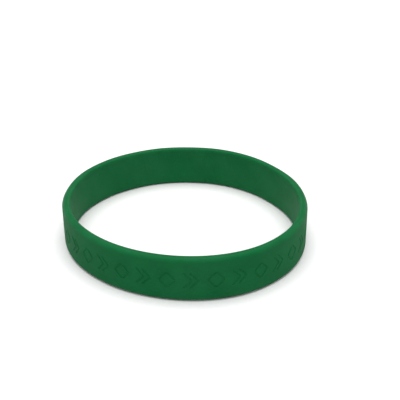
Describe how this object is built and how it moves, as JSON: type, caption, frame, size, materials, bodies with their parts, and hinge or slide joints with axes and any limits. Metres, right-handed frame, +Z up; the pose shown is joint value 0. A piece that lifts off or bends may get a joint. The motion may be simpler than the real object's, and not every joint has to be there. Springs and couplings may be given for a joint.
{
  "type": "silicone wristband",
  "caption": "Closed wristband moulded in one piece from soft silicone rubber, lying on its edge, with rounded rims and shallow geometric marks in its outer wall.",
  "frame": {"origin": "middle of the footprint, on the surface that the band lies on", "axes": "+Z up, through the wrist opening and along the band's width; -Y towards the side that the picture shows in front; +X to the right there"},
  "size_m": [0.0674, 0.07, 0.012],
  "materials": {
    "silicone": "satin"
  },
  "bodies": {
    "root": {"band": "silicone"}
  },
  "joints": []
}
